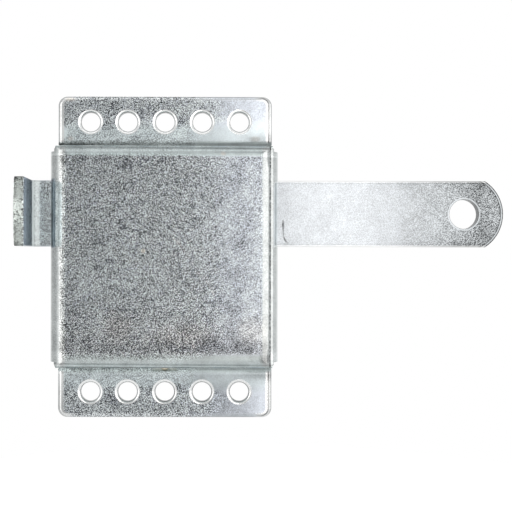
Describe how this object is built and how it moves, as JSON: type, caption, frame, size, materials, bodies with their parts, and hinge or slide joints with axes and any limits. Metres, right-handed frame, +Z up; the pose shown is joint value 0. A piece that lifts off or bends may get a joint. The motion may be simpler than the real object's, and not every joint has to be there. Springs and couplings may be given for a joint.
{
  "type": "slide bolt lock",
  "caption": "Inside slide-bolt lock for an overhead door: raised square steel housing with pierced mounting flanges, and a flat sliding bar with a padlock hole and a bent finger tab.",
  "frame": {"origin": "centre of the ten mounting holes, on the plane of the housing's back face", "axes": "+X along the bar towards the padlock hole, +Y out of the back into the door, +Z up; the front faces -Y"},
  "size_m": [0.1612, 0.0253, 0.1096],
  "materials": {
    "housing_zinc": "bright zinc plate over stamped sheet, fine mottled grain with hairline scratches",
    "bar_zinc": "bright zinc plate over bar stock, fine mottled grain",
    "rivet_zinc": "zinc-plated rivet and washer",
    "spring_wire": "yellow-passivated spring wire"
  },
  "bodies": {
    "housing": {"housing": "housing_zinc"},
    "bolt": {"bolt_bar": "bar_zinc", "pivot_rivet": "rivet_zinc", "pivot_washer": "rivet_zinc"},
    "spring": {"toggle_spring": "spring_wire"}
  },
  "joints": [
    {"name": "bolt_slide", "type": "slide", "parent": "housing", "child": "bolt", "axis": [1, 0, 0], "range_m": [-0.0626, 0]},
    {"name": "spring_swing", "type": "hinge", "parent": "housing", "child": "spring", "pos_m": [0, -0.001, -0.03715], "axis": [0, 1, 0], "range_deg": [-62.44, 0], "deforming": ["toggle_spring"]}
  ],
  "couplings": [
    {"joint": "spring_swing", "follows": "bolt_slide", "rad_per_m": 17.406}
  ]
}
